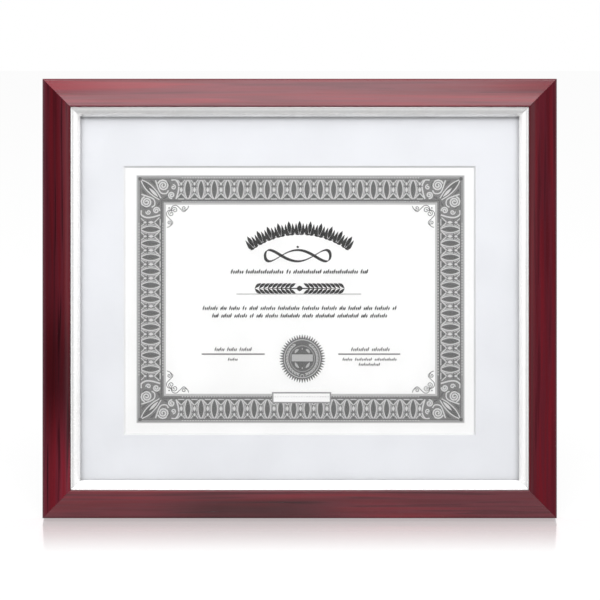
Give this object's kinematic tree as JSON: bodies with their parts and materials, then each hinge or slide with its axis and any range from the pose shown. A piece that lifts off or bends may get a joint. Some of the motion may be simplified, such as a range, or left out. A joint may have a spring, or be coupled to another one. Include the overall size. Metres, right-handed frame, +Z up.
{
  "type": "certificate frame",
  "caption": "Standing wood document frame with a silvered liner, bevelled mat and printed certificate behind glass, with turn buttons and a hinged easel leg on its back.",
  "frame": {"origin": "on the floor, below the middle of the whole frame's box as it stands open on its leg", "axes": "+X to the right of the certificate, +Y towards the back, +Z up; the front faces -Y and leans back"},
  "size_m": [0.3928, 0.105, 0.3308],
  "materials": {
    "dark_wood": "satin red-brown lacquer",
    "silver_leaf": "silver leaf",
    "glass": "clear",
    "mat_board": "matte",
    "paper": "matte, printed",
    "filler_card": "matte",
    "black_board": "black paper on board",
    "zinc_steel": "zinc plated",
    "ribbon": "woven"
  },
  "bodies": {
    "frame": {"rail_top": "dark_wood", "liner_top": "silver_leaf", "rail_bottom": "dark_wood", "liner_bottom": "silver_leaf", "rail_left": "dark_wood", "liner_left": "silver_leaf", "rail_right": "dark_wood", "liner_right": "silver_leaf", "corner_v_nails": "zinc_steel", "turn_button_screws": "zinc_steel", "hanger_nails": "zinc_steel", "sawtooth_hanger": "zinc_steel", "glass": "glass", "mat": "mat_board", "certificate": "paper", "filler_board": "filler_card", "backing_board": "black_board", "hinge_leaf_board": "zinc_steel", "hinge_rivets_board": "zinc_steel", "hinge_pin": "zinc_steel", "ribbon_staple_board": "zinc_steel", "easel_ribbon": "ribbon"},
    "easel": {"easel_leg": "black_board", "hinge_leaf_leg": "zinc_steel", "hinge_rivets_leg": "zinc_steel", "ribbon_staple_leg": "zinc_steel"},
    "turn_button_1": {"turn_button_1": "zinc_steel"},
    "turn_button_2": {"turn_button_2": "zinc_steel"},
    "turn_button_3": {"turn_button_3": "zinc_steel"},
    "turn_button_4": {"turn_button_4": "zinc_steel"},
    "turn_button_5": {"turn_button_5": "zinc_steel"},
    "turn_button_6": {"turn_button_6": "zinc_steel"}
  },
  "joints": [
    {"name": "easel_hinge", "type": "hinge", "parent": "frame", "child": "easel", "pos_m": [0, 0.0101, 0.20973], "axis": [-1, 0, 0], "range_deg": [0, 23], "deforming": ["easel_ribbon"]},
    {"name": "turn_button_1_turn", "type": "hinge", "parent": "frame", "child": "turn_button_1", "pos_m": [0.12, 0.03087, 0.32064], "axis": [0, 0.9781, -0.2079], "range_deg": [-90, 90]},
    {"name": "turn_button_2_turn", "type": "hinge", "parent": "frame", "child": "turn_button_2", "pos_m": [-0.12, 0.03087, 0.32064], "axis": [0, 0.9781, -0.2079], "range_deg": [-90, 90]},
    {"name": "turn_button_3_turn", "type": "hinge", "parent": "frame", "child": "turn_button_3", "pos_m": [-0.12, -0.03562, 0.00783], "axis": [0, 0.9781, -0.2079], "range_deg": [-90, 90]},
    {"name": "turn_button_4_turn", "type": "hinge", "parent": "frame", "child": "turn_button_4", "pos_m": [0.12, -0.03562, 0.00783], "axis": [0, 0.9781, -0.2079], "range_deg": [-90, 90]},
    {"name": "turn_button_5_turn", "type": "hinge", "parent": "frame", "child": "turn_button_5", "pos_m": [-0.18845, -0.00237, 0.16423], "axis": [0, 0.9781, -0.2079], "range_deg": [-90, 90]},
    {"name": "turn_button_6_turn", "type": "hinge", "parent": "frame", "child": "turn_button_6", "pos_m": [0.18845, -0.00237, 0.16423], "axis": [0, 0.9781, -0.2079], "range_deg": [-90, 90]}
  ]
}
